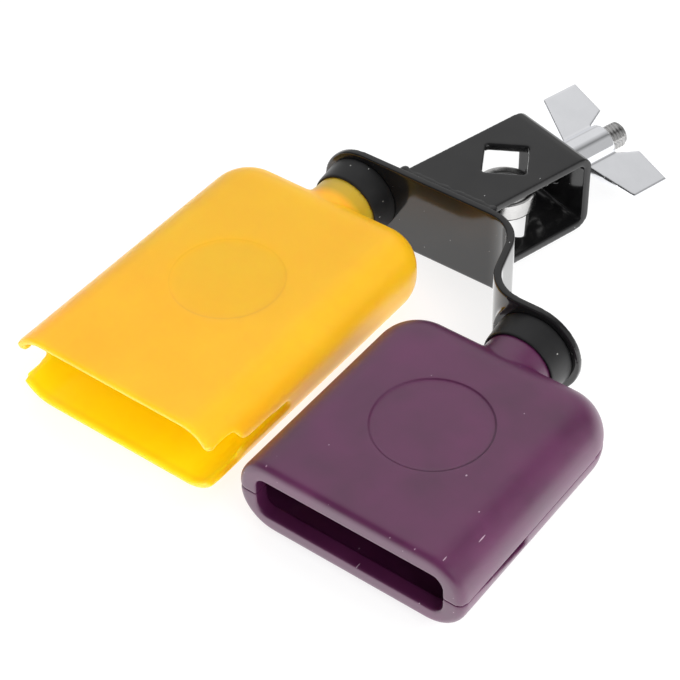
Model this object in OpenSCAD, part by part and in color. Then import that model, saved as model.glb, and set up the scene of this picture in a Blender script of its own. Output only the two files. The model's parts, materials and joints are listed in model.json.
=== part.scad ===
/* [Blocks] */
// Width of the large block from side to side
large_w = 90; // [76:1:100]
// Width of the small block from side to side
small_w = 88; // [76:1:100]
// Height of each block
block_h = 30.5; // [28:0.5:36]
// Radius of the rounded long edges
edge_r = 14; // [8:0.5:15]
// Least height of the flat band left along the sides
side_flat = 1.5; // [1:0.1:3]
// Radius of the rear corners seen from above
rear_r = 17; // [15:0.5:25]
// Least amount by which the rear corners exceed the long edges
corner_more = 1; // [0.5:0.1:3]
// Wall thickness of the moulded shells
wall = 2.6; // [2:0.1:4]
// Length of the large block from mouth to rear
large_len = 125; // [110:1:150]
// Length of the small block from mouth to rear
small_len = 93.8; // [80:0.2:105]
// Free space between the two blocks
block_gap = 9.2; // [4:0.2:20]

/* [Striking marks] */
// Radius of the round striking mark on each block
mark_r = 20.5; // [12:0.5:26]
// Depth of the round striking mark
mark_depth = 0.5; // [0.2:0.1:1]
// Distance from the mouth to the mark on the large block
large_mark_y = 62.8; // [50:0.2:80]
// Distance from the mouth to the mark on the small block
small_mark_y = 46.8; // [38:0.2:60]

/* [Small mouth] */
// Width of the plastic on each side of the small mouth
rim_side = 7.7; // [5:0.1:12]
// Height of the small mouth opening
mouth_h = 16.6; // [10:0.2:20]
// Depth of the thick rim around the small mouth
rim_deep = 6; // [3:0.5:12]
// Corner radius of the small mouth
mouth_corner = 4.5; // [2:0.5:5]
// Spare height kept above and below the small mouth, both together
mouth_spare = 1; // [0.5:0.1:2]
// Rounding of the small block's front edges
small_front_r = 3; // [1:0.5:5]
// Where the wedge slit in the sides starts
slit_start = 9; // [6:0.5:15]
// Where the wedge slit in the sides ends
slit_end = 36; // [24:1:45]
// Height of the wedge slit at its rear end
slit_h = 3.9; // [2:0.1:5]

/* [Large mouth] */
// Rounding of the large block's front edges
large_front_r = 1; // [0.5:0.1:1.2]
// Distance of both lips' tips from mid height, at the mouth
tip_z = 8.5; // [6:0.5:10]
// Distance of the notches behind the tips from mid height
notch_z = 7.1; // [5:0.1:8]
// Where the notch behind the tips starts to step down
notch_y = 12.6; // [8:0.2:16]
// Where the step reaches the narrow slot
step_y = 15.5; // [14:0.1:20]
// Rear end of the narrow side slot
slot_end = 39.5; // [28:0.5:50]
// Height of the narrow slot above mid height at its front
slot_up = 1.7; // [1:0.1:3]
// Height of the narrow slot above mid height at its rear
slot_up_rear = 0.4; // [0.2:0.1:1]
// Depth of the side slot below mid height
slot_down = 2.9; // [1.5:0.1:4]

/* [Necks and collars] */
// Radius of the round neck behind each block
neck_r = 13.2; // [11:0.1:14]
// Neck showing between the large block and its collar
large_neck = 5.4; // [2:0.1:10]
// Neck showing between the small block and its collar
small_neck = 3.4; // [2:0.1:10]
// Depth of the neck's root inside the block
neck_depth = 9; // [8:0.5:12]
// Outer radius of the rubber collars at the neck
collar_front_r = 14.2; // [14:0.1:15]
// Outer radius of the rubber collars at the strap
collar_r = 15.4; // [15:0.1:17]
// Least width of the collars' front face around the necks
collar_lip = 0.8; // [0.7:0.1:2]
// Chamfer at the front edge of the rubber collars
collar_chamfer = 0.4; // [0.2:0.1:0.6]
// Length of the rubber collars
collar_len = 11; // [8:0.5:14]
// Thickness of the collar floor against the strap
collar_floor = 3.5; // [2:0.5:5]
// Outer radius of the threaded inserts
insert_r = 5; // [4.2:0.1:7]
// Length of the threaded inserts
insert_len = 13; // [12:0.5:15]
// Radius of the block screws
screw_r = 3; // [2:0.5:3.5]
// Length of the block screws inside the inserts
screw_grip = 10; // [5:0.5:10.5]
// Free depth of the threaded hole below the screw's end
screw_spare = 1; // [0.5:0.1:1.5]
// Half width across the flats of the screw heads
screw_head_r = 5; // [4.5:0.1:6]
// Height of the screw heads
screw_head_h = 4; // [3:0.5:5]
// Radius of the screw washers
screw_washer_r = 7; // [6.5:0.5:8]
// Thickness of the screw washers
screw_washer_t = 1.4; // [0.8:0.2:2]

/* [Strap] */
// Thickness of the strap
strap_t = 3; // [2:0.5:4]
// Height of the strap
strap_h = 35.4; // [34:0.2:42]
// Middle radius of the two bends in the strap
bend_r = 15.5; // [8:0.5:18]
// Angle of the two bends in the strap
bend_angle = 73; // [60:1:80]
// Flat part of the small tab inside the block axis
tab_flat = 8.5; // [8:0.5:14]

/* [Rod clamp] */
// Distance from the large block's axis to the rod axis, across the blocks
rod_across = 43.8; // [40:0.2:50]
// Distance from the strap's back face to the rod axis
rod_setback = 27.3; // [24:0.1:34]
// Turn of the clamp seen from above
yoke_turn = 16; // [0:1:20]
// Width of the yoke
yoke_w = 37; // [30:1:42]
// Height of the yoke over both plates
yoke_h = 33.6; // [28:0.2:35]
// Thickness of the yoke plates
yoke_t = 3.5; // [2.5:0.5:4]
// Inside radius of the yoke bends
yoke_bend = 2.5; // [1:0.5:4]
// Distance from the rod axis to the inside of the yoke web
web_in = 23; // [22:0.5:30]
// Side length of the diamond holes for the rod
diamond = 16.4; // [14.8:0.2:20]
// Corner radius of the diamond holes
diamond_corner = 1.2; // [0.4:0.2:2]
// Size of the weld beads
bead_r = 2.4; // [1.5:0.1:3.5]
// Free height above and below the weld lumps at the plates' edges
bead_inset = 0.4; // [0.2:0.1:1]
// Free length at each end of the inner weld beads
bead_end = 3; // [1:0.5:6]

/* [Clamp bolt] */
// Radius of the hole in the eye, for the rod
eye_bore_r = 7; // [5:0.1:7.2]
// Outer radius of the eye
eye_r = 11.8; // [10.4:0.1:12]
// Height of the eye
eye_h = 8.4; // [8.2:0.2:10]
// Rounding of the eye's edges
eye_round = 1.4; // [0.4:0.1:1.6]
// Radius of the plain shank behind the eye
shank_r = 4.2; // [3:0.1:4.2]
// Where the thread starts, from the middle of the eye
thread_start = 18; // [15:0.5:20]
// Radius of the threaded stud
stud_r = 5; // [4:0.5:5]
// Stud showing past the wing nut
stud_out = 9; // [7:0.5:12]
// Chamfer at the stud's end
stud_chamfer = 0.8; // [0.4:0.1:1.2]

/* [Wing nut] */
// Thickness of the washer under the wing nut
nut_washer_t = 1.5; // [1:0.1:2]
// Radius of the washer under the wing nut
nut_washer_r = 9.5; // [8:0.5:12]
// Radius of the wing nut's hub
hub_r = 7.3; // [6.6:0.1:7.5]
// Length of the wing nut's hub
hub_len = 21.5; // [21:0.5:30]
// Reach of the wings from the axis
wing_reach = 27.5; // [22:0.5:32]
// Thickness of the wings
wing_t = 3.8; // [2:0.2:4.4]
// Turn of the wings about the stud
wing_turn = 15; // [-90:1:90]
// Distance from the hub's base to the wing's root
wing_root = 7; // [4:0.5:7.5]
// Distance from the hub's base to the near corner of the wing tip
wing_tip_near = 13.6; // [12:0.2:20]
// Distance from the hub's base to the far edge of the wings
wing_tip_far = 30.2; // [28:0.2:34]
// Distance from the axis to the wing's far shoulder
wing_shoulder = 11.5; // [9:0.5:16]
// Length of the wing along the hub
wing_foot = 14; // [10:0.5:14]

/* [Fits] */
// Running clearance of a screw in its strap hole
turn_clear = 0.08; // [0.04:0.01:0.1]
// Running clearance of the stud in the wing nut
thread_clear = 0.05; // [0.02:0.01:0.1]
// Clearance of the neck in its collar and of the insert in the neck
seat_clear = 0.04; // [0.02:0.01:0.08]
// Clearance of loose holes around screws and the stud
loose_clear = 0.4; // [0.3:0.1:0.8]

/* [Hidden] */
$fn = 96;
eps = 0.5;
big = 400;
side_r = min(edge_r, (block_h - side_flat) / 2);
corner_r = max(rear_r, side_r + corner_more);
axis_pitch = large_w / 2 + small_w / 2 + block_gap;
large_x = -rod_across;
small_x = large_x + axis_pitch;
strap_back_y = -rod_setback;
strap_front_y = strap_back_y - strap_t;
mouth_y = strap_front_y - collar_len - large_neck - large_len;
large_rear_y = mouth_y + large_len;
small_rear_y = mouth_y + small_len;
large_neck_y = large_rear_y + large_neck;
small_neck_y = small_rear_y + small_neck;
tab_front_y = small_neck_y + collar_len;
tab_back_y = tab_front_y + strap_t;
spigot = collar_len - collar_floor;
collar_near = max(collar_front_r, neck_r + seat_clear + collar_lip);
collar_far = max(collar_r, collar_near);
insert_pocket = insert_len + seat_clear;
neck_root = max(neck_depth, insert_len - spigot - min(large_neck, small_neck) + wall);
mouth_high = min(mouth_h, block_h - 2 * wall - mouth_spare);
// The strap's double bend drops from the large tab to the small one
drop = strap_front_y - tab_front_y;
bend_rm = min(bend_r, 0.45 * drop / (1 - cos(bend_angle)));
leg = (drop - 2 * bend_rm * (1 - cos(bend_angle))) / sin(bend_angle);
bend_end_x = small_x - tab_flat;
bend_start_x = bend_end_x - 2 * bend_rm * sin(bend_angle) - leg * cos(bend_angle);
bend_steps = 20;
strap_mid_y = strap_back_y - strap_t / 2;
tab_mid_y = tab_back_y - strap_t / 2;
yoke_in_z = yoke_h / 2 - yoke_t;
web_out = web_in + yoke_t;
hub_base = web_out + nut_washer_t;
hub_end = hub_base + hub_len;
stud_end = hub_end + stud_out;
stud_from = (eye_bore_r + eye_r) / 2;
shank = min(shank_r, stud_r, eye_h / 2);
yoke_back = rod_setback / cos(yoke_turn) + yoke_w / 2 * tan(yoke_turn) + yoke_t;
bead_mid_x = -rod_setback * tan(yoke_turn);
bead_len = yoke_w / cos(yoke_turn) - 2 * bead_end;

// Node names, one for each piece

// Quarter disc used for rounded edges
module quarter_disc(r) {
    intersection() {
        circle(r);
        square([r, r]);
    }
}

// Half of a bar's cross-section, from its middle line to its rounded edge
module edge_outline(reach, h, r) {
    translate([0, -h / 2])
        square([reach - r, h]);
    translate([0, -h / 2 + r])
        square([reach, h - 2 * r]);
    for (sz = [0, 1])
        mirror([0, sz])
            translate([reach - r, h / 2 - r])
                quarter_disc(r);
}

// Flat outline of a bar's cross-section with rounded edges
module bar_outline(w, h, r) {
    for (sx = [0, 1])
        mirror([sx, 0])
            edge_outline(w / 2, h, r);
}

// Cushion shape, open end at y = 0, rounded sides, rear and rear corners
module cushion(w, h, len, r, rc) {
    rotate([-90, 0, 0])
        linear_extrude(len - rc)
            bar_outline(w, h, r);
    translate([-(w / 2 - rc), len - rc, 0])
        rotate([90, 0, 90])
            linear_extrude(w - 2 * rc)
                edge_outline(rc, h, r);
    translate([w / 2 - rc, len - rc, 0])
        rotate_extrude(angle = 90)
            edge_outline(rc, h, r);
    translate([-(w / 2 - rc), len - rc, 0])
        rotate([0, 0, 90])
            rotate_extrude(angle = 90)
                edge_outline(rc, h, r);
}

// Outside of a block with its front edges rounded by fr
module block_outside(w, len, fr) {
    translate([0, fr, 0])
        cushion(w, block_h, len - fr, side_r, corner_r);
    rotate([-90, 0, 0])
        linear_extrude(fr)
            bar_outline(w - 2 * fr, block_h - 2 * fr, side_r - fr);
    for (sz = [0, 1])
        mirror([0, 0, sz]) {
            translate([-(w / 2 - side_r), fr, block_h / 2 - fr])
                rotate([0, 90, 0])
                    linear_extrude(w - 2 * side_r)
                        rotate(180)
                            quarter_disc(fr);
            for (sx = [0, 1])
                mirror([sx, 0, 0])
                    translate([w / 2 - side_r, fr, block_h / 2 - side_r])
                        rotate([90, 0, 0])
                            rotate_extrude(angle = 90)
                                translate([side_r - fr, 0])
                                    quarter_disc(fr);
        }
    for (sx = [0, 1])
        mirror([sx, 0, 0])
            translate([w / 2 - fr, fr, -(block_h / 2 - side_r)])
                linear_extrude(block_h - 2 * side_r)
                    rotate(-90)
                        quarter_disc(fr);
}

// Hollow inside a block, starting at y = from
module block_inside(w, len, from) {
    translate([0, from, 0])
        cushion(w - 2 * wall, block_h - 2 * wall, len - wall - from, side_r - wall, corner_r - wall);
}

// Rounded mouth opening of the small block
module small_mouth() {
    mouth_w = small_w - 2 * rim_side;
    mouth_r = min(mouth_corner, mouth_high / 2 - 0.5);
    translate([0, -eps, 0])
        rotate([-90, 0, 0])
            linear_extrude(rim_deep + 2 * eps)
                bar_outline(mouth_w, mouth_high, mouth_r);
}

// Cut through both side walls, drawn in the side view
module side_cut() {
    rotate([90, 0, 90])
        translate([0, 0, -big / 2])
            linear_extrude(big)
                children();
}

// One block in one piece, mouth at y = 0, neck along +Y
module block_solid(w, len, fr, neck, from) {
    difference() {
        union() {
            difference() {
                block_outside(w, len, fr);
                block_inside(w, len, from);
            }
            translate([0, len - neck_root, 0])
                rotate([-90, 0, 0])
                    cylinder(h = neck_root + neck + spigot, r = neck_r);
        }
        translate([0, len + neck + spigot - insert_pocket, 0])
            rotate([-90, 0, 0])
                cylinder(h = insert_pocket + eps, r = insert_r + seat_clear);
    }
}

module keep_upper() {
    intersection() {
        children();
        translate([-big / 2, -big / 2, 0])
            cube([big, big, big]);
    }
}

module keep_lower() {
    intersection() {
        children();
        translate([-big / 2, -big / 2, -big])
            cube([big, big, big]);
    }
}

module strike_mark(y) {
    translate([0, y, block_h / 2 - mark_depth])
        cylinder(h = mark_depth + eps, r = mark_r);
}

module large_upper_shell() {
    color([0.98, 0.72, 0.16])
        translate([large_x, mouth_y, 0])
            difference() {
                keep_upper()
                    block_solid(large_w, large_len, large_front_r, large_neck, -eps);
                strike_mark(large_mark_y);
                side_cut()
                    polygon([[-eps, -eps], [-eps, tip_z], [notch_y, notch_z], [step_y, slot_up],
                        [slot_end, slot_up_rear], [slot_end, -eps]]);
            }
}

module large_lower_shell() {
    color([0.98, 0.70, 0.12])
        translate([large_x, mouth_y, 0])
            difference() {
                keep_lower()
                    block_solid(large_w, large_len, large_front_r, large_neck, -eps);
                side_cut()
                    polygon([[-eps, eps], [-eps, -tip_z], [notch_y, -notch_z], [step_y, -slot_down],
                        [slot_end, -slot_down], [slot_end, eps]]);
            }
}

module small_upper_shell() {
    color([0.42, 0.24, 0.36])
        translate([small_x, mouth_y, 0])
            difference() {
                keep_upper()
                    block_solid(small_w, small_len, small_front_r, small_neck, rim_deep);
                small_mouth();
                strike_mark(small_mark_y);
            }
}

module small_lower_shell() {
    color([0.40, 0.22, 0.34])
        translate([small_x, mouth_y, 0])
            difference() {
                keep_lower()
                    block_solid(small_w, small_len, small_front_r, small_neck, rim_deep);
                small_mouth();
                side_cut()
                    polygon([[slit_start, eps], [slit_start, 0], [slit_end, -slit_h], [slit_end, eps]]);
            }
}

// Threaded insert moulded into a neck, mouth at y = 0
module insert() {
    translate([0, -insert_len, 0])
        rotate([-90, 0, 0])
            difference() {
                cylinder(h = insert_len, r = insert_r);
                translate([0, 0, insert_len - screw_grip - screw_spare])
                    cylinder(h = screw_grip + screw_spare + eps, r = screw_r + thread_clear);
            }
}

module large_insert() {
    color([0.78, 0.62, 0.30])
        translate([large_x, large_neck_y + spigot, 0])
            insert();
}

module small_insert() {
    color([0.78, 0.62, 0.30])
        translate([small_x, small_neck_y + spigot, 0])
            insert();
}

// Rubber cup that seats a neck on the strap, open end at y = 0
module collar() {
    rotate([-90, 0, 0])
        difference() {
            union() {
                cylinder(h = collar_chamfer, r1 = collar_near - collar_chamfer, r2 = collar_near);
                translate([0, 0, collar_chamfer])
                    cylinder(h = collar_len - collar_chamfer, r1 = collar_near, r2 = collar_far);
            }
            translate([0, 0, -eps])
                cylinder(h = spigot + eps, r = neck_r + seat_clear);
            cylinder(h = collar_len + eps, r = screw_r + loose_clear);
        }
}

module large_collar() {
    color([0.10, 0.10, 0.11])
        translate([large_x, large_neck_y, 0])
            collar();
}

module small_collar() {
    color([0.10, 0.10, 0.11])
        translate([small_x, small_neck_y, 0])
            collar();
}

// Plate with the screw hole at each end of the strap, front face at y = 0
module strap_tab() {
    rotate([-90, 0, 0])
        cylinder(h = strap_t, r = strap_h / 2);
}

// Outline of the strap seen from above, from the large axis to the small one
function bend_point(c, angle, r) = [c[0] + r * cos(angle), c[1] + r * sin(angle)];
first_centre = [bend_start_x, strap_mid_y - bend_rm];
second_centre = [bend_end_x, tab_mid_y + bend_rm];
bend_step = bend_angle / bend_steps;
function first_bend(side) = [for (i = [0 : bend_steps])
    bend_point(first_centre, 90 - bend_step * i, bend_rm + side)];
function second_bend(side) = [for (i = [0 : bend_steps])
    bend_point(second_centre, 270 - bend_angle + bend_step * i, bend_rm - side)];
function strap_edge(side) = concat([[large_x, strap_mid_y + side]], first_bend(side), second_bend(side),
    [[small_x, tab_mid_y + side]]);
function reversed(list) = [for (i = [len(list) - 1 : -1 : 0]) list[i]];

module bracket_strap() {
    color([0.06, 0.06, 0.07])
        difference() {
            union() {
                translate([large_x, strap_front_y, 0])
                    strap_tab();
                translate([0, 0, -strap_h / 2])
                    linear_extrude(strap_h)
                        polygon(concat(strap_edge(strap_t / 2), reversed(strap_edge(-strap_t / 2))));
                translate([small_x, tab_front_y, 0])
                    strap_tab();
            }
            translate([large_x, strap_front_y - eps, 0])
                rotate([-90, 0, 0])
                    cylinder(h = strap_t + 2 * eps, r = screw_r + turn_clear);
            translate([small_x, tab_front_y - eps, 0])
                rotate([-90, 0, 0])
                    cylinder(h = strap_t + 2 * eps, r = screw_r + turn_clear);
        }
}

// Screw from behind the strap, strap back face at y = 0
module block_screw() {
    reach = strap_t + collar_floor + screw_grip;
    translate([0, -reach, 0])
        rotate([-90, 0, 0])
            cylinder(h = reach + screw_washer_t, r = screw_r);
    translate([0, screw_washer_t, 0])
        rotate([-90, 30, 0])
            cylinder(h = screw_head_h, r = screw_head_r / cos(30), $fn = 6);
}

module large_screw() {
    color([0.62, 0.63, 0.66])
        translate([large_x, strap_back_y, 0])
            block_screw();
}

module small_screw() {
    color([0.62, 0.63, 0.66])
        translate([small_x, tab_back_y, 0])
            block_screw();
}

module screw_washer() {
    rotate([-90, 0, 0])
        difference() {
            cylinder(h = screw_washer_t, r = screw_washer_r);
            translate([0, 0, -eps])
                cylinder(h = screw_washer_t + 2 * eps, r = screw_r + loose_clear);
        }
}

module large_screw_washer() {
    color([0.70, 0.71, 0.73])
        translate([large_x, strap_back_y, 0])
            screw_washer();
}

module small_screw_washer() {
    color([0.70, 0.71, 0.73])
        translate([small_x, tab_back_y, 0])
            screw_washer();
}

// The clamp's own frame: bolt along +Y, rod along Z, origin on the rod axis
module in_clamp() {
    rotate([0, 0, -yoke_turn])
        children();
}

module diamond_outline() {
    rotate(45)
        bar_outline(diamond, diamond, diamond_corner);
}

module clamp_yoke() {
    color([0.06, 0.06, 0.07])
        difference() {
            in_clamp()
                difference() {
                    union() {
                        for (sz = [0, 1])
                            mirror([0, 0, sz]) {
                                translate([-yoke_w / 2, -yoke_back, yoke_in_z])
                                    cube([yoke_w, yoke_back + web_in - yoke_bend, yoke_t]);
                                translate([-yoke_w / 2, web_in - yoke_bend, yoke_in_z - yoke_bend])
                                    rotate([90, 0, 90])
                                        rotate_extrude(angle = 90)
                                            translate([yoke_bend, 0])
                                                square([yoke_t, yoke_w]);
                            }
                        translate([-yoke_w / 2, web_in, -(yoke_in_z - yoke_bend)])
                            cube([yoke_w, yoke_t, 2 * (yoke_in_z - yoke_bend)]);
                    }
                    translate([0, 0, -yoke_h])
                        linear_extrude(2 * yoke_h)
                            diamond_outline();
                    translate([0, web_in - eps, 0])
                        rotate([-90, 0, 0])
                            cylinder(h = yoke_t + 2 * eps, r = stud_r + loose_clear);
                }
            translate([-big / 2, strap_back_y - big, -big / 2])
                cube([big, big, big]);
        }
}

// Bead in the inside corner between the upper plate and the strap
module inner_bead() {
    translate([bead_mid_x - bead_len / 2, strap_back_y, yoke_in_z])
        rotate([90, 0, 90])
            linear_extrude(bead_len)
                rotate(-90)
                    quarter_disc(bead_r);
}

// Lumps of weld at the two side edges of the upper plate
module side_lumps() {
    difference() {
        for (sx = [-1, 1])
            translate([bead_mid_x + sx * yoke_w / 2 / cos(yoke_turn), strap_back_y, yoke_in_z + bead_inset])
                cylinder(h = yoke_t - 2 * bead_inset, r = bead_r);
        in_clamp()
            translate([-yoke_w / 2, -big / 2, -big / 2])
                cube([yoke_w, big, big]);
        translate([-big / 2, strap_back_y - big, -big / 2])
            cube([big, big, big]);
    }
}

module weld_beads() {
    color([0.08, 0.08, 0.09])
        for (sz = [0, 1])
            mirror([0, 0, sz]) {
                inner_bead();
                side_lumps();
            }
}

module eye_bolt() {
    color([0.75, 0.76, 0.78])
        in_clamp() {
            rotate_extrude()
                translate([(eye_bore_r + eye_r) / 2, 0])
                    bar_outline(eye_r - eye_bore_r, eye_h, eye_round);
            translate([0, stud_from, 0])
                rotate([-90, 0, 0])
                    cylinder(h = thread_start - stud_from, r = shank);
            translate([0, thread_start, 0])
                rotate([-90, 0, 0])
                    cylinder(h = stud_end - stud_chamfer - thread_start, r = stud_r);
            translate([0, stud_end - stud_chamfer, 0])
                rotate([-90, 0, 0])
                    cylinder(h = stud_chamfer, r1 = stud_r, r2 = stud_r - stud_chamfer);
        }
}

module clamp_washer() {
    color([0.72, 0.73, 0.75])
        in_clamp()
            translate([0, web_out, 0])
                rotate([-90, 0, 0])
                    difference() {
                        cylinder(h = nut_washer_t, r = nut_washer_r);
                        translate([0, 0, -eps])
                            cylinder(h = nut_washer_t + 2 * eps, r = stud_r + loose_clear);
                    }
}

// One wing seen along its flat side, from the axis outwards
module wing_outline() {
    polygon([[0, wing_root], [hub_r, wing_root], [wing_reach, wing_tip_near], [wing_reach, wing_tip_far],
        [wing_shoulder, wing_tip_far], [hub_r, wing_root + wing_foot], [0, wing_root + wing_foot]]);
}

module wing_nut() {
    color([0.80, 0.81, 0.83])
        in_clamp()
            translate([0, hub_base, 0])
                difference() {
                    union() {
                        rotate([-90, 0, 0])
                            cylinder(h = hub_len, r = hub_r);
                        rotate([0, wing_turn, 0])
                            for (sx = [0, 1])
                                mirror([sx, 0, 0])
                                    translate([0, 0, -wing_t / 2])
                                        linear_extrude(wing_t)
                                            wing_outline();
                    }
                    translate([0, -eps, 0])
                        rotate([-90, 0, 0])
                            cylinder(h = hub_len + 2 * eps, r = stud_r + thread_clear);
                }
}

large_upper_shell();
large_lower_shell();
small_upper_shell();
small_lower_shell();
large_insert();
small_insert();
large_collar();
small_collar();
bracket_strap();
large_screw();
small_screw();
large_screw_washer();
small_screw_washer();
clamp_yoke();
weld_beads();
eye_bolt();
clamp_washer();
wing_nut();
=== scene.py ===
# %% [markdown]
# # Two plastic cowbells on a rod clamp
# The instrument is a pair of hollow plastic blocks, a long yellow one and a short purple one. Each is
# moulded as two half shells and screwed through a rubber collar to a bent steel strap. A steel yoke, an eye
# bolt and a wing nut hold the strap on a stand's rod.
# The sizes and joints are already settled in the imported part, so this lesson only gives it its looks.

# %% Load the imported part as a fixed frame
import json
import math

import bmesh
import bpy
from mathutils import Matrix, Vector, noise


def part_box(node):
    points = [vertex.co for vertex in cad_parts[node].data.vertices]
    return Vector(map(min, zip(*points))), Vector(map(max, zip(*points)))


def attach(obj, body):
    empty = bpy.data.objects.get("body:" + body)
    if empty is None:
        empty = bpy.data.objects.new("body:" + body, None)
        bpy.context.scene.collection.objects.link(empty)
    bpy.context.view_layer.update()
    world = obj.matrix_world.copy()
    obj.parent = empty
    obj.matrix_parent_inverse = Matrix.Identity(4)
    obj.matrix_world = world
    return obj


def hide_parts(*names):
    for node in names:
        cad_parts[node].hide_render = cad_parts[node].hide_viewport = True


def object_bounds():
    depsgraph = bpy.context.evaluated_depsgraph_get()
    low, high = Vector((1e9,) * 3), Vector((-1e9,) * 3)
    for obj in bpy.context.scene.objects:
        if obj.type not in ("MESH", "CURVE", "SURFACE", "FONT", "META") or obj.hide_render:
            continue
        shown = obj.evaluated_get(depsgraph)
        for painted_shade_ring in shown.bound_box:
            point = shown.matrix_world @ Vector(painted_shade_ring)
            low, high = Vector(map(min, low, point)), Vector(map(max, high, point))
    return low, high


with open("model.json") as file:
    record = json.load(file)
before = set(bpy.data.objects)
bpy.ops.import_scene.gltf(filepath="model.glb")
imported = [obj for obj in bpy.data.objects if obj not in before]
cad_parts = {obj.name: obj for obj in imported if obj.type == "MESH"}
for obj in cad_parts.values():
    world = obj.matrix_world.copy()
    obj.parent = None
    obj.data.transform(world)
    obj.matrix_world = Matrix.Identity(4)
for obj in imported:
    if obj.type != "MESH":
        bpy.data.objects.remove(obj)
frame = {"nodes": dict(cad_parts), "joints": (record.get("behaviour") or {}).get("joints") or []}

MM = 0.001
BLOCKS = ("large", "small")


def in_mm(point):
    return [round(c / MM, 1) for c in point]


cad_low, cad_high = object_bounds()
print("CAD box in mm:", in_mm(cad_low), in_mm(cad_high))

# %% [markdown]
# ## Effects that several finishes share
# Moulded plastic, rubber and paint are never quite even: they have a fine grain, slow clouds in their tone
# and a little dust. The blocks also have a round mark sunk into their upper flat, with a painted shade along
# its edge. Each effect could be drawn again in every material, but as a node group with named sockets it is
# built once and placed in a material with that material's own values. The groups read Object coordinates in
# metres, so a scale of 1000 gives marks of about 1 mm.

# %% Helpers that add a node, with each input linked or set
def feed(tree, node, inputs):
    for label, value in inputs.items():
        if isinstance(value, bpy.types.NodeSocket):
            tree.links.new(value, node.inputs[label])
        else:
            node.inputs[label].default_value = value


def add_node(tree, kind, inputs, **settings):
    node = tree.nodes.new("ShaderNode" + kind)
    for setting, value in settings.items():
        setattr(node, setting, value)
    feed(tree, node, inputs)
    return node.outputs


def calculate(tree, operation, *values):
    return add_node(tree, "Math", dict(enumerate(values)), operation=operation)["Value"]


# %% A helper that starts a node group
def start_group(name, inputs, outputs):
    group = bpy.data.node_groups.new(name, "ShaderNodeTree")
    group.interface.new_socket("Place", in_out="INPUT", socket_type="NodeSocketVector")
    for label, value in inputs.items():
        socket = group.interface.new_socket(label, in_out="INPUT", socket_type="NodeSocketFloat")
        socket.default_value = value
    for label in outputs:
        group.interface.new_socket(label, in_out="OUTPUT", socket_type="NodeSocketFloat")
    print("group:", name)
    return group, group.nodes.new("NodeGroupInput").outputs, group.nodes.new("NodeGroupOutput")


# %% The grain and the clouds of a moulded or painted surface
grain_group, entry, leave = start_group(
    "moulded_grain", {"Grain per metre": 900.0, "Clouds per metre": 40.0}, ["Grain", "Clouds"])
for label, detail, lowest, highest in (("Grain", 2.0, 0.0, 1.0), ("Clouds", 3.0, 0.3, 0.7)):
    pattern = add_node(grain_group, "TexNoise", {
        "Vector": entry["Place"], "Scale": entry[label + " per metre"], "Detail": detail})
    widened = add_node(grain_group, "MapRange", {
        "Value": pattern[0], "From Min": lowest, "From Max": highest})
    feed(grain_group, leave, {label: widened["Result"]})

# %% Specks of dust and short lint, each in its own cell of a Voronoi pattern
LINT_TURN = (0.0, 0.0, 0.6)
dust_group, entry, leave = start_group(
    "dust_specks", {"Cells per metre": 200.0, "Speck size": 0.05, "Share": 0.2, "Squeeze": 0.5}, ["Dust"])
squeeze = add_node(dust_group, "CombineXYZ", {"X": 1.0, "Y": entry["Squeeze"], "Z": 1.0})
squeezed = add_node(dust_group, "Mapping", {
    "Vector": entry["Place"], "Rotation": LINT_TURN, "Scale": squeeze["Vector"]})
cells = add_node(dust_group, "TexVoronoi", {
    "Vector": squeezed["Vector"], "Scale": entry["Cells per metre"]})
lot = add_node(dust_group, "SeparateColor", {"Color": cells["Color"]})
near = calculate(dust_group, "LESS_THAN", cells["Distance"], entry["Speck size"])
chosen = calculate(dust_group, "LESS_THAN", lot["Red"], entry["Share"])
feed(dust_group, leave, {"Dust": calculate(dust_group, "MULTIPLY", near, chosen)})

# %% How far a point is past the edge of a round mark that is sunk into a flat, in widths of that edge
mark_group, entry, leave = start_group(
    "sunk_mark", {"Middle X": 0.0, "Middle Y": 0.0, "Radius": 0.02, "Edge": 0.0005, "Lowest": 0.0},
    ["Step", "Corner"])
mark_middle = add_node(mark_group, "CombineXYZ", {"X": entry["Middle X"], "Y": entry["Middle Y"]})
in_plan = add_node(mark_group, "VectorMath", {0: entry["Place"], 1: (1.0, 1.0, 0.0)}, operation="MULTIPLY")
from_middle = add_node(mark_group, "VectorMath", {0: in_plan["Vector"], 1: mark_middle["Vector"]},
                       operation="DISTANCE")
past_edge = calculate(mark_group, "SUBTRACT", from_middle["Value"], entry["Radius"])
edge_widths = calculate(mark_group, "DIVIDE", past_edge, entry["Edge"])
height = add_node(mark_group, "SeparateXYZ", {"Vector": entry["Place"]})["Z"]
on_flat = calculate(mark_group, "GREATER_THAN", height, entry["Lowest"])

# %% The mark's step for the bump, and a painted shade in a ring along its edge
sunk = add_node(mark_group, "MapRange", {
    "Value": edge_widths, "From Min": -1.0, "From Max": 1.0, "To Min": 1.0, "To Max": 0.0},
    interpolation_type="SMOOTHSTEP")["Result"]
sunk_on_flat = calculate(mark_group, "MULTIPLY", sunk, on_flat)
# Painted shade: a dark ring along the mark's edge, where the step is.
painted_shade_ring = add_node(mark_group, "MapRange", {
    "Value": calculate(mark_group, "ABSOLUTE", edge_widths), "To Min": 1.0, "To Max": 0.0},
    interpolation_type="SMOOTHSTEP")["Result"]
feed(mark_group, leave, {
    "Step": calculate(mark_group, "SUBTRACT", 1.0, sunk_on_flat),
    "Corner": calculate(mark_group, "MULTIPLY", painted_shade_ring, on_flat)})
print("nodes in the mark's group:", len(mark_group.nodes))
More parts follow.
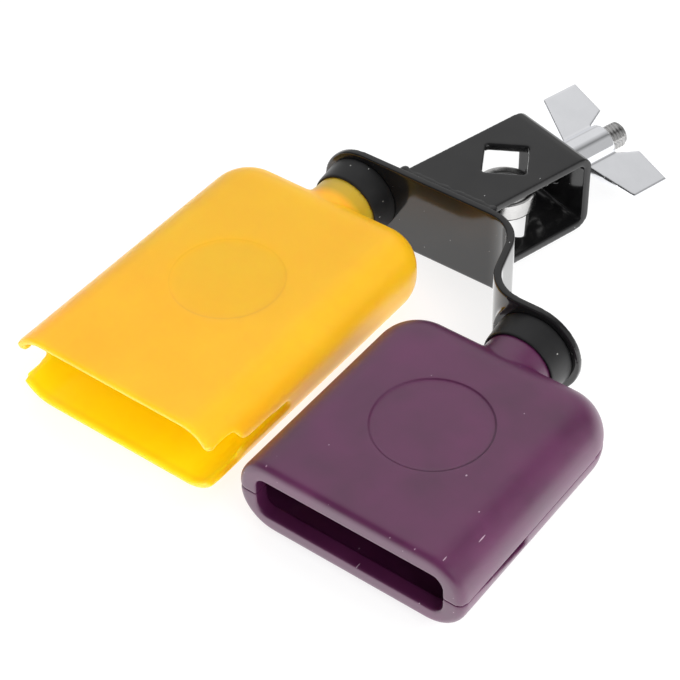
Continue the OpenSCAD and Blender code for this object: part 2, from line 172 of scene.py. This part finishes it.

# %% [markdown]
# ## The finishes
# Every finish follows one plan: two close tones mixed by the clouds, a roughness that follows the clouds,
# and a bump from the grain. Dust lies over it in a paler tone, and a zone that the mesh marks with an
# attribute can lay painted light or painted shade over it as a tone of its own. One helper lays this plan
# out, so that the finishes stay alike and only their values differ. Values that are the same all over a
# surface are set on the shader itself, so only what varies is linked.

# %% Helpers that lay one tone over another by a mask, and place a group with its values in order
def lay_over(tree, below, tone, mask):
    inputs = {"A": below, "B": (*tone, 1.0), "Factor": mask}
    return add_node(tree, "Mix", inputs, data_type="RGBA")["Result"]


def place_group(tree, group, place, *values):
    return add_node(tree, "Group", dict(enumerate((place, *values))), node_tree=group)


# %% A helper that adds a round mark's painted shade to a colour and its step to a normal
def add_mark(tree, place, colour, normal, edge, tone, depth):
    ring = place_group(tree, mark_group, place, *edge)
    step = add_node(tree, "Bump", {
        "Height": ring["Step"], "Distance": depth, "Strength": 1.0, "Normal": normal})
    # The tone is a painted shade, laid in a ring along the mark's edge.
    return lay_over(tree, colour, tone, ring["Corner"]), step["Normal"]


# %% A helper that lays the plan out
def new_finish(name, tones, rough, grain, clouds, fixed, painted_light_zones=(), dust=(), dust_tone=None, mark=None):
    material = bpy.data.materials.new(name)
    material.use_nodes = True
    tree = material.node_tree
    tree.nodes.clear()
    place = add_node(tree, "TexCoord", {})["Object"]
    grains_per_metre, grain_depth, grain_strength = grain
    surface = place_group(tree, grain_group, place, grains_per_metre, clouds)
    colour = lay_over(tree, (*tones[0], 1.0), tones[1], surface["Clouds"])
    # The zones lay painted light and painted shade over the colour, where the mesh's attributes mark them.
    for painted_zone, tone in painted_light_zones:
        where = add_node(tree, "Attribute", {}, attribute_name=painted_zone)
        colour = lay_over(tree, colour, tone, where["Fac"])
    for layer in dust:
        specks = place_group(tree, dust_group, place, *layer)
        colour = lay_over(tree, colour, dust_tone, specks["Dust"])
    roughness = add_node(tree, "MapRange", {
        "Value": surface["Clouds"], "To Min": rough[0], "To Max": rough[1]})["Result"]
    normal = add_node(tree, "Bump", {
        "Height": surface["Grain"], "Distance": grain_depth, "Strength": grain_strength})["Normal"]
    if mark:
        colour, normal = add_mark(tree, place, colour, normal, *mark)
    shader = add_node(tree, "BsdfPrincipled", {
        "Base Color": colour, "Roughness": roughness, "Normal": normal, **fixed})
    add_node(tree, "OutputMaterial", {"Surface": shader["BSDF"]})
    print("finish:", name)
    return material


# %% [markdown]
# ## Yellow and purple plastic
# The blocks are a tough, slightly see-through plastic with a satin skin. Light that enters the yellow one
# comes out warmer beside it, which is what makes its shaded side orange, so it gets subsurface scattering.
# Inside the hollow its yellow is lighter and purer, which is painted light for the light that comes through
# the thin walls, and on the neck over the insert it is darker, which is painted shade: these are two zones.
# The purple one is nearly opaque and shows pale dust and lint.

# %% The two plastics, each with its round mark
MARK_R = 20.5 * MM
MARK_MIDDLE = {"large": (-43.8 * MM, -108.9 * MM), "small": (54.4 * MM, -124.9 * MM)}
UPPER_FLAT = 12.0 * MM
MOULD_GRAIN = (1500.0, 0.02 * MM, 0.25)
SPECKS, LINT = (300.0, 0.085, 0.14, 0.7), (400.0, 0.075, 0.35, 0.10)
yellow_plastic = new_finish(
    "yellow_plastic", tones=((0.97, 0.420, 0.006), (0.99, 0.460, 0.012)), rough=(0.40, 0.47),
    grain=MOULD_GRAIN, clouds=30.0,
    # Painted light: a lighter, purer yellow on the wall of the hollow. Painted shade: a darker yellow on the
    # neck.
    painted_light_zones=(("painted_inner_light", (0.97, 0.66, 0.006)), ("painted_neck_shade", (0.50, 0.33, 0.02))),
    # The mark's tone is a painted shade along its edge.
    mark=((*MARK_MIDDLE["large"], MARK_R, 0.6 * MM, UPPER_FLAT), (0.94, 0.41, 0.006), 0.12 * MM),
    fixed={"Subsurface Weight": 1.0, "Subsurface Radius": (1.0, 0.80, 0.12), "Subsurface Scale": 8 * MM,
           "Specular IOR Level": 0.62})
purple_plastic = new_finish(
    "purple_plastic", tones=((0.060, 0.0072, 0.041), (0.091, 0.0126, 0.062)), rough=(0.34, 0.44),
    grain=MOULD_GRAIN, clouds=55.0, dust=(SPECKS, LINT), dust_tone=(0.36, 0.25, 0.32),
    # The mark's tone is a painted shade along its edge.
    mark=((*MARK_MIDDLE["small"], MARK_R, 0.5 * MM, UPPER_FLAT), (0.060, 0.0075, 0.041), 0.3 * MM),
    fixed={"Subsurface Weight": 0.08, "Subsurface Radius": (1.0, 0.2, 0.4), "Subsurface Scale": 1.5 * MM,
           "Specular IOR Level": 0.90})

# %% [markdown]
# ## Paint, rubber and metal
# The strap and the yoke are dipped in gloss black paint, which flows to a faint orange peel. The collars are
# matt black rubber. The wing nut is chromed, the eye bolt has a duller nickel plate, the screws and their
# washers are plain zinc, and the threaded inserts inside the necks are brass. All follow the plan, with a
# coarser or finer grain.

# %% Black paint and black rubber
black_paint = new_finish(
    "black_paint", tones=((0.006, 0.006, 0.0065), (0.010, 0.0098, 0.010)), rough=(0.07, 0.13),
    grain=(260.0, 0.05 * MM, 0.10), clouds=60.0, dust=((420.0, 0.08, 0.10, 0.6),),
    dust_tone=(0.25, 0.25, 0.25), fixed={"Specular IOR Level": 0.5})
collar_rubber = new_finish(
    "collar_rubber", tones=((0.006, 0.006, 0.0065), (0.012, 0.012, 0.0125)), rough=(0.38, 0.50),
    grain=(1800.0, 0.03 * MM, 0.35), clouds=90.0, dust=((450.0, 0.10, 0.20, 0.6),),
    dust_tone=(0.30, 0.30, 0.29), fixed={"Specular IOR Level": 0.35})

# %% Chrome, nickel, zinc and brass
METAL = {"Metallic": 1.0}
TURNED_GRAIN = (1200.0, 0.03 * MM, 0.30)
chrome = new_finish(
    "clamp_chrome", tones=((0.89, 0.90, 0.93), (0.93, 0.94, 0.97)), rough=(0.05, 0.11),
    grain=(420.0, 0.03 * MM, 0.06), clouds=150.0, fixed=METAL)
bolt_nickel = new_finish(
    "bolt_nickel", tones=((0.47, 0.465, 0.46), (0.55, 0.545, 0.54)), rough=(0.16, 0.26),
    grain=(600.0, 0.03 * MM, 0.15), clouds=200.0, fixed=METAL)
zinc = new_finish(
    "screw_zinc", tones=((0.55, 0.56, 0.57), (0.68, 0.69, 0.70)), rough=(0.26, 0.38),
    grain=TURNED_GRAIN, clouds=300.0, fixed=METAL)
brass = new_finish(
    "insert_brass", tones=((0.68, 0.46, 0.17), (0.76, 0.54, 0.22)), rough=(0.25, 0.36),
    grain=TURNED_GRAIN, clouds=300.0, fixed=METAL)

# %% [markdown]
# ## How a CAD solid becomes a finished piece
# A CAD node's mesh is loose triangles with knife-sharp edges, and real edges are never that sharp. A copy is
# merged first. Screws and washers then get their coplanar triangles dissolved and their edges rounded with a
# bevel. What is moulded, cast or thickly painted is remeshed into even voxels and smoothed instead, because
# that rounds lips, valleys and seams together, as a mould or a coat of paint does. The CAD mesh itself is
# never touched.

# %% A merged copy, and a bevelled one
MERGE_WITHIN = 0.002 * MM
FLAT_WITHIN = math.radians(0.2)
SHARP_OVER = math.radians(30.0)


def merged_copy(*nodes):
    bm = bmesh.new()
    for node in nodes:
        bm.from_mesh(frame["nodes"][node].data)
    bmesh.ops.remove_doubles(bm, verts=bm.verts, dist=MERGE_WITHIN)
    return bm


def bevelled_copy(node, radius):
    bm = merged_copy(node)
    bmesh.ops.dissolve_limit(bm, angle_limit=FLAT_WITHIN, verts=bm.verts, edges=bm.edges)
    sharp = [e for e in bm.edges if len(e.link_faces) == 2 and e.calc_face_angle(0.0) > SHARP_OVER]
    bmesh.ops.bevel(bm, geom=sharp, offset=radius, offset_type="OFFSET", segments=2, profile=0.5,
                    affect="EDGES", clamp_overlap=True, material=-1)
    return bm


# %% A cast: the copy remeshed into voxels and smoothed
def smooth(bm, verts, passes):
    for _ in range(passes):
        bmesh.ops.smooth_vert(bm, verts=verts, factor=0.5, use_axis_x=True, use_axis_y=True, use_axis_z=True)


def cast(bm, voxel, passes):
    mesh = bpy.data.meshes.new("cast")
    bm.to_mesh(mesh)
    bm.free()
    holder = bpy.data.objects.new("cast", mesh)
    bpy.context.scene.collection.objects.link(holder)
    voxels = holder.modifiers.new("voxels", "REMESH")
    voxels.mode = "VOXEL"
    voxels.voxel_size = voxel
    bpy.context.view_layer.update()
    skin = bmesh.new()
    skin.from_object(holder, bpy.context.evaluated_depsgraph_get())
    bpy.data.objects.remove(holder)
    bpy.data.meshes.remove(mesh)
    smooth(skin, skin.verts[:], passes)
    return skin


# %% A helper that turns a finished bmesh into a piece on its body
FLAT_WEIGHT = 80


def make_piece(name, bm, material, slot, body, *nodes, weighted=False):
    mesh = bpy.data.meshes.new(name)
    bm.to_mesh(mesh)
    bm.free()
    mesh.polygons.foreach_set("use_smooth", [True] * len(mesh.polygons))
    mesh.materials.append(material)
    piece = bpy.data.objects.new(name, mesh)
    bpy.context.scene.collection.objects.link(piece)
    if weighted:
        piece.modifiers.new("flat faces stay flat", "WEIGHTED_NORMAL").weight = FLAT_WEIGHT
    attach(piece, body)
    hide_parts(*nodes)
    mesh.calc_loop_triangles()
    print("piece:", name, len(mesh.loop_triangles), "triangles on", body)
    return piece


# %% [markdown]
# ## The blocks' half shells
# Each block is two half shells with a seam round its middle. A bevel would only round their sharp edges. As
# casts of the CAD shells, their lips, their slots and the root of the neck all get a moulded softness. The
# purple seam opens to a hairline. The yellow halves are welded and light passes through their seam, so they
# are cast together as one skin. A ball at each end of its upper lip gives it fat tips, and the edge of its
# round mark is smoothed further. The mesh stores which points face the hollow, for painted light there, and
# which lie on the neck over the insert, for painted shade there: these are the zones of the finish.

# %% A helper that puts the fat tips on the yellow block's upper lip
TIP_X, TIP_Z, TIP_R = 40.9 * MM, 8.0 * MM, 2.3 * MM
TIP_INSET = 0.2 * MM


def add_tips(shell, middle):
    for side in (1, -1):
        tip = Matrix.Translation((middle + side * TIP_X, cad_low.y + TIP_R + TIP_INSET, TIP_Z))
        bmesh.ops.create_icosphere(shell, subdivisions=3, radius=TIP_R, matrix=tip)


# %% Helpers that smooth the lip, the valley beside the neck, and the edge of the yellow mark
LIP_DEEP = 3.0 * MM
VALLEY_HALF, VALLEY_FROM, VALLEY_TO = 21 * MM, 12 * MM, 1 * MM
VALLEY_PASSES = 6
MARK_BAND, MARK_PASSES = 3.5 * MM, 8


def soften_ends(shell, middle, collar_front, lip_passes):
    lip = [v for v in shell.verts if v.co.y < cad_low.y + LIP_DEEP]
    smooth(shell, lip, lip_passes)
    valley = [v for v in shell.verts if abs(v.co.x - middle) < VALLEY_HALF
              and collar_front - VALLEY_FROM < v.co.y < collar_front - VALLEY_TO]
    smooth(shell, valley, VALLEY_PASSES)


def soften_mark(shell, middle):
    centre = Vector((middle, MARK_MIDDLE["large"][1]))
    ring = [v for v in shell.verts if v.co.z > UPPER_FLAT
            and abs((v.co.xy - centre).length - MARK_R) < MARK_BAND]
    smooth(shell, ring, MARK_PASSES)


# %% A helper that stores the two zones: painted light on the wall of the hollow, and painted shade on the neck over the insert
LIP_FADE, LIP_BARE = 2 * MM, 0.7
LOWER_LIP_LEAST = 0.65
INWARD_GAIN = 2.5
NECK_SHADE_FADE, NECK_SHADE_AHEAD = 5 * MM, 2.0


def share(value, least=0.0):
    return min(1.0, max(least, value))


def store_painted_light_zones(shell, middle, collar_front):
    shell.normal_update()
    painted_inner_light = shell.verts.layers.float.new("painted_inner_light")
    painted_neck_shade = shell.verts.layers.float.new("painted_neck_shade")
    for v in shell.verts:
        least = 0.0 if v.co.z > 0 else LOWER_LIP_LEAST
        behind_lip = share((v.co.y - cad_low.y) / LIP_FADE - LIP_BARE, least)
        to_axis = Vector((middle - v.co.x, 0.0, -v.co.z)).normalized()
        # Painted light on the wall of the hollow, strongest where it faces the block's axis.
        v[painted_inner_light] = behind_lip * share(INWARD_GAIN * v.normal.dot(to_axis))
        # Painted shade on the neck, from a little ahead of the collar.
        v[painted_neck_shade] = share((v.co.y - collar_front) / NECK_SHADE_FADE + NECK_SHADE_AHEAD)


# %% Cast the shells
LARGE_VOXEL, SMALL_VOXEL = 0.82 * MM, 0.6 * MM
for name, block, finish, voxel, lip_passes, nodes in (
        ("large_welded_halves", "large", yellow_plastic, LARGE_VOXEL, 3,
         ("large_upper_shell", "large_lower_shell")),
        ("small_upper_half", "small", purple_plastic, SMALL_VOXEL, 2, ("small_upper_shell",)),
        ("small_lower_half", "small", purple_plastic, SMALL_VOXEL, 2, ("small_lower_shell",))):
    insert_low, insert_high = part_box(block + "_insert")
    middle = (insert_low.x + insert_high.x) / 2
    collar_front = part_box(block + "_collar")[0].y
    shell = merged_copy(*nodes)
    if block == "large":
        add_tips(shell, middle)
    shell = cast(shell, voxel, passes=2)
    soften_ends(shell, middle, collar_front, lip_passes)
    if block == "large":
        soften_mark(shell, middle)
    store_painted_light_zones(shell, middle, collar_front)
    make_piece(name, shell, finish, block + "_plastic", block + "_block", *nodes)

# %% [markdown]
# ## Rubber collars
# A tapered rubber collar sits between each neck and the strap, and grips the neck as the block is turned.
# It could be spun from a profile, but the CAD solid already has the taper, and a cast of it gets the soft,
# rounded rim of moulded rubber.

# %% Cast the collars
for block in BLOCKS:
    collar = cast(merged_copy(block + "_collar"), voxel=0.35 * MM, passes=7)
    make_piece(block + "_rubber_collar", collar, collar_rubber, "collar_rubber", block + "_block",
               block + "_collar")

# %% [markdown]
# ## Strap and yoke
# Both are bent from 3 to 3.5 mm steel sheet, and the thick paint rounds every cut edge. A wide bevel is hard
# to carry round the bends and holes. Casting the sheet and smoothing it a dozen times rounds the edges too,
# and leaves its wide faces flat.

# %% Cast the sheet parts with rounded edges
for node, name in (("bracket_strap", "painted_strap"), ("clamp_yoke", "painted_yoke")):
    sheet = cast(merged_copy(node), voxel=0.42 * MM, passes=12)
    make_piece(name, sheet, black_paint, "black_paint", "bracket", node)

# %% [markdown]
# ## Welds
# Welds join the yoke's two plates to the strap. A weld is a row of frozen drops, so a run of flat balls is
# laid along each joint, with a larger ball at its ends, and a smooth noise makes the run wander a little.
# They are cast together with the CAD beads into one skin.

# %% Lay the drops and cast them with the beads
DROP_R, DROP_PITCH = 1.5 * MM, 1.1 * MM
DROP_WIDE, DROP_FLAT, END_GROW = 1.35, 0.62, 1.25
BEHIND_STRAP, BELOW_PLATE = 0.9 * MM, 0.7 * MM
WANDER, WANDER_LENGTH, WANDER_ROW, WANDER_UP = 0.35 * MM, 3 * MM, 0.5, 0.3
welds = merged_copy("weld_beads")
joint_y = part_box("bracket_strap")[1].y
plate_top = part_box("clamp_yoke")[1].z
bead_low, bead_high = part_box("weld_beads")
drops = int((bead_high.x - bead_low.x) / DROP_PITCH)
first, last = 2, drops - 2
for side in (1, -1):
    for i in range(first, last + 1):
        along = bead_low.x + (bead_high.x - bead_low.x) * i / drops
        wander = noise.noise((along / WANDER_LENGTH, side, WANDER_ROW)) * WANDER
        grow = END_GROW if i in (first, last) else 1.0
        where = Vector((along, joint_y + BEHIND_STRAP + wander,
                        side * (plate_top - BELOW_PLATE + WANDER_UP * wander)))
        shape = Matrix.Translation(where) @ Matrix.Diagonal((grow, DROP_WIDE * grow, DROP_FLAT * grow, 1.0))
        bmesh.ops.create_icosphere(welds, subdivisions=2, radius=DROP_R, matrix=shape)
welds = cast(welds, voxel=0.26 * MM, passes=4)
make_piece("painted_welds", welds, black_paint, "black_paint", "bracket", "weld_beads")

# %% [markdown]
# ## Screws and washers
# A hex screw with a washer goes through the strap into each neck. They and the clamp's own washer have flat
# faces and narrow, crisp edges, so they get a bevel, and weighted normals keep the flats flat.

# %% Bevel the fasteners
for block in BLOCKS:
    screw = bevelled_copy(block + "_screw", radius=0.35 * MM)
    make_piece(block + "_hex_screw", screw, zinc, "screw_steel", block + "_block", block + "_screw",
               weighted=True)
    washer = bevelled_copy(block + "_screw_washer", radius=0.3 * MM)
    make_piece(block + "_flat_washer", washer, zinc, "screw_steel", block + "_block",
               block + "_screw_washer", weighted=True)
washer = bevelled_copy("clamp_washer", radius=0.35 * MM)
make_piece("clamp_flat_washer", washer, chrome, "clamp_chrome", "bracket", "clamp_washer", weighted=True)

# %% [markdown]
# ## Threaded inserts
# Each neck holds a brass insert that takes the screw. It is closed in by the shells, so the CAD solid stays
# as it is and only gets its brass.

# %% Give the inserts their brass
for block in BLOCKS:
    insert = frame["nodes"][block + "_insert"]
    insert.data.materials.clear()
    insert.data.materials.append(brass)
    print("brass on", insert.name)

# %% [markdown]
# ## Eye bolt with its thread
# The eye closes on the rod when the wing nut is tightened. Its stud has a coarse thread, which shows past
# the nut. A screw modifier could turn it, but bmesh can spin one V-shaped pitch round the axis while it
# climbs, so that each turn meets the next. Two planes trim it, and the end is tapered as a lathe would do it.
# It is made upright and then laid along the stud by a plain turn, because a mirrored one would give a
# left-hand thread.

# %% Directions along the clamp's stud
UPRIGHT = Vector((0, 0, 1))
eye_joint = next(j for j in frame["joints"] if j["name"] == "eye_bolt_draw")
stud_axis = Vector(eye_joint["axis"]).normalized()
stud_side = UPRIGHT.cross(stud_axis)
to_stud = Matrix((stud_side, UPRIGHT, stud_axis)).transposed().to_4x4()
stud_end = max(stud_axis.dot(v.co) for v in frame["nodes"]["eye_bolt"].data.vertices)
print("stud end in mm:", round(stud_end / MM, 2))

# %% A helper that cuts off what lies past a plane and closes the cut
CUT_WITHIN, ON_PLANE = 1e-7, 1e-6


def cut_off(bm, point, outwards):
    bmesh.ops.bisect_plane(bm, geom=bm.verts[:] + bm.edges[:] + bm.faces[:], dist=CUT_WITHIN,
                           plane_co=point, plane_no=outwards, clear_outer=True)
    rim = [e for e in bm.edges if e.is_boundary
           and all(abs((v.co - point).dot(outwards)) < ON_PLANE for v in e.verts)]
    bmesh.ops.holes_fill(bm, edges=rim, sides=0)


# %% The eye with a plain shank, cut short inside the nut
SHANK_END = 38 * MM
eye = merged_copy("eye_bolt")
cut_off(eye, stud_axis * SHANK_END, stud_axis)
print("eye and shank:", len(eye.faces), "faces")

# %% Spin the thread; it climbs, so its ends don't meet and aren't merged
PITCH = 1.5 * MM
CREST, ROOT = 4.98 * MM, 4.2 * MM
ONE_PITCH = ((ROOT, 0.0), (CREST, 0.42), (CREST, 0.58), (ROOT, 1.0))
TURN_STEPS, SPARE_TURNS, EARLY_TURNS = 40, 2, 1.5
THREAD_MERGE = 0.005 * MM
thread = bmesh.new()
profile = [thread.verts.new((radius, 0, part * PITCH)) for radius, part in ONE_PITCH]
lines = [thread.edges.new(pair) for pair in zip(profile, profile[1:])]
turns = math.ceil((stud_end - SHANK_END) / PITCH) + SPARE_TURNS
bmesh.ops.spin(thread, geom=profile + lines, cent=(0, 0, 0), axis=UPRIGHT, angle=2 * math.pi * turns,
               dvec=(0, 0, PITCH / TURN_STEPS), steps=turns * TURN_STEPS, use_merge=False)
bmesh.ops.remove_doubles(thread, verts=thread.verts, dist=THREAD_MERGE)
bmesh.ops.translate(thread, verts=thread.verts, vec=(0, 0, SHANK_END - EARLY_TURNS * PITCH))
print("thread turns:", turns)

# %% Trim the thread, taper its end and lay it along the stud
LAP, TAPER = 0.1 * MM, 1.0 * MM
cut_off(thread, UPRIGHT * (SHANK_END - LAP), -UPRIGHT)
cut_off(thread, UPRIGHT * stud_end, UPRIGHT)
for vert in thread.verts:
    limit = CREST - max(0.0, vert.co.z - (stud_end - TAPER))
    reach = vert.co.xy.length
    if reach > limit:
        vert.co.xy *= limit / reach
bmesh.ops.recalc_face_normals(thread, faces=thread.faces)
bmesh.ops.transform(thread, matrix=to_stud, verts=thread.verts)
print("thread:", len(thread.faces), "faces")

# %% Join the thread to the shank
THREAD_SHARP_OVER = math.radians(40)
thread_mesh = bpy.data.meshes.new("thread")
thread.to_mesh(thread_mesh)
thread.free()
eye.from_mesh(thread_mesh)
bpy.data.meshes.remove(thread_mesh)
eye_piece = make_piece("plated_eye_bolt", eye, bolt_nickel, "clamp_chrome", "clamp_bolt", "eye_bolt")
eye_piece.data.set_sharp_from_angle(angle=THREAD_SHARP_OVER)

# %% [markdown]
# ## Wing nut
# The wing nut is cast in one piece with a long hub and two flat wings, and then chromed. As a cast copy its
# edges and the corners between hub and wings get the small roundings of a real casting, which a bevel can't
# give to inner corners.

# %% Cast the wing nut
wing_nut = cast(merged_copy("wing_nut"), voxel=0.28 * MM, passes=12)
make_piece("chromed_wing_nut", wing_nut, chrome, "clamp_chrome", "clamp_nut", "wing_nut")

# %% [markdown]
# ## The table
# The object lies on a white table. More light would make the table white, but the object too bright, so the
# table is made white to the camera by Light Path, and keeps a faint shadow. For reflections it falls off
# towards the back, so that chrome stands out against it.

# %% The floor
FLOOR_GAP = 0.1 * MM
FLOOR_HALF = 6.0
floor_bm = bmesh.new()
bmesh.ops.create_grid(floor_bm, x_segments=4, y_segments=4, size=FLOOR_HALF)
bmesh.ops.translate(floor_bm, verts=floor_bm.verts, vec=(0, 0, cad_low.z - FLOOR_GAP))
floor_mesh = bpy.data.meshes.new("floor")
floor_bm.to_mesh(floor_mesh)
floor_bm.free()
floor = bpy.data.objects.new("floor", floor_mesh)
bpy.context.scene.collection.objects.link(floor)
print("floor height in mm:", round((cad_low.z - FLOOR_GAP) / MM, 1))

# %% A helper that mixes two values by one kind of ray
def by_ray(tree, label, otherwise, value):
    hit = add_node(tree, "LightPath", {})[label]
    return add_node(tree, "Mix", {"A": otherwise, "B": value, "Factor": hit})["Result"]


# %% The table's white: a pale paper that also glows
PAPER = (0.26, 0.26, 0.26, 1.0)
TABLE_LIGHT, TABLE_BACK, TABLE_SEEN = 1.4, 0.85, 0.80
FADE_FROM, FADE_TO = -15 * MM, 20 * MM
white = bpy.data.materials.new("white_table")
white.use_nodes = True
tree = white.node_tree
tree.nodes.clear()
table_place = add_node(tree, "SeparateXYZ", {"Vector": add_node(tree, "TexCoord", {})["Object"]})
fall_off = add_node(tree, "MapRange", {
    "Value": table_place["Y"], "From Min": FADE_FROM, "From Max": FADE_TO,
    "To Min": TABLE_LIGHT, "To Max": TABLE_BACK})
in_reflections = by_ray(tree, "Is Glossy Ray", TABLE_LIGHT, fall_off["Result"])
glow = add_node(tree, "Emission", {"Strength": by_ray(tree, "Is Camera Ray", in_reflections, TABLE_SEEN)})
paper = add_node(tree, "BsdfDiffuse", {"Color": PAPER})
glowing_paper = add_node(tree, "AddShader", {0: paper["BSDF"], 1: glow["Emission"]})
add_node(tree, "OutputMaterial", {"Surface": glowing_paper["Shader"]})
floor.data.materials.append(white)
print("table:", white.name)

# %% [markdown]
# ## The camera
# The camera looks down on the mouths from the right. Its place, its three directions and its lens come from
# one perspective fit, so they are written as they are, and no aim or track is needed.

# %% The camera, set by its own three directions
CAMERA_PLACE = (0.30350, -0.48575, 0.47624)
RIGHT = Vector((0.799142, 0.600579, -0.026019))
UP = Vector((-0.402331, 0.566506, 0.719167))
BACK = Vector((0.446656, -0.564248, 0.694350))
LENS, SENSOR = 104.638, 36.0
NEAREST, FARTHEST = 0.01, 50.0
camera = bpy.data.objects.new("camera", bpy.data.cameras.new("camera"))
camera.data.lens = LENS
camera.data.sensor_width = SENSOR
camera.data.clip_start = NEAREST
camera.data.clip_end = FARTHEST
camera.matrix_world = Matrix.Translation(CAMERA_PLACE) @ Matrix((RIGHT, UP, BACK)).transposed().to_4x4()
bpy.context.scene.collection.objects.link(camera)
bpy.context.scene.camera = camera
print("camera at, in mm:", in_mm(CAMERA_PLACE))

# %% [markdown]
# ## The light
# The table stands in a white tent. The world is white to the camera by Light Path, while the light that
# falls on the object stays at a plain level. Reflections see the tent's walls: white behind and at the right,
# and darker on the camera's side, where the tent's opening is. That darker side gives the edges their
# contrast. Three softboxes shape the light. They don't show in reflections, because the walls already do.

# %% A helper for a wall of the tent: a level that changes round one direction
def towards(tree, ray, direction, start, full, low, high):
    turn = add_node(tree, "VectorMath", {0: ray, 1: Vector(direction).normalized()}, operation="DOT_PRODUCT")
    level = add_node(tree, "MapRange", {
        "Value": turn["Value"], "From Min": start, "From Max": full, "To Min": low, "To Max": high})
    return level["Result"]


# %% The tent: white walls behind and at the right, darker round the opening
TENT_LIGHT, TENT_SEEN = 0.62, 1.0
world = bpy.data.worlds.new("tent")
bpy.context.scene.world = world
world.use_nodes = True
tree = world.node_tree
tree.nodes.clear()
ray = add_node(tree, "TexCoord", {})["Generated"]
back_wall = towards(tree, ray, (-0.447, 0.564, 0.694), start=0.58, full=0.93, low=0.11, high=0.94)
right_wall = towards(tree, ray, (0.9, 0.2, 0.35), start=0.62, full=0.88, low=0.0, high=0.65)
near_table = towards(tree, ray, (0, 0, 1), start=0.04, full=0.30, low=1.0, high=0.0)
beside_opening = towards(tree, ray, (0.62, -0.78, 0), start=-0.1, full=0.4, low=1.0, high=0.0)
low_rim = calculate(tree, "MULTIPLY", near_table, beside_opening)
walls = calculate(tree, "MAXIMUM", calculate(tree, "MAXIMUM", back_wall, right_wall), low_rim)
in_reflections = by_ray(tree, "Is Glossy Ray", TENT_LIGHT, walls)
through_glass = by_ray(tree, "Is Transmission Ray", in_reflections, walls)
sky = add_node(tree, "Background", {"Strength": by_ray(tree, "Is Camera Ray", through_glass, TENT_SEEN)})
add_node(tree, "OutputWorld", {"Surface": sky["Background"]})
print("world:", world.name)

# %% Softboxes in front, at the right and above
AIM = Vector((0, -0.09, 0))
for name, place, size, power in (
        ("softbox_front", (-0.15, -1.2, 0.22), (1.4, 0.4), 4.0),
        ("softbox_right", (1.0, -0.15, 0.75), (1.2, 0.5), 13.0),
        ("softbox_top", (-0.2, 0.5, 1.1), (1.4, 1.2), 7.5)):
    lamp = bpy.data.lights.new(name, "AREA")
    lamp.shape = "RECTANGLE"
    lamp.size, lamp.size_y = size
    lamp.energy = power
    softbox = bpy.data.objects.new(name, lamp)
    softbox.location = place
    softbox.rotation_euler = (AIM - Vector(place)).to_track_quat("-Z", "Y").to_euler()
    softbox.visible_glossy = False
    bpy.context.scene.collection.objects.link(softbox)
    print("light:", name, power, "W")

# %% Plain colours
bpy.context.scene.view_settings.view_transform = "Standard"
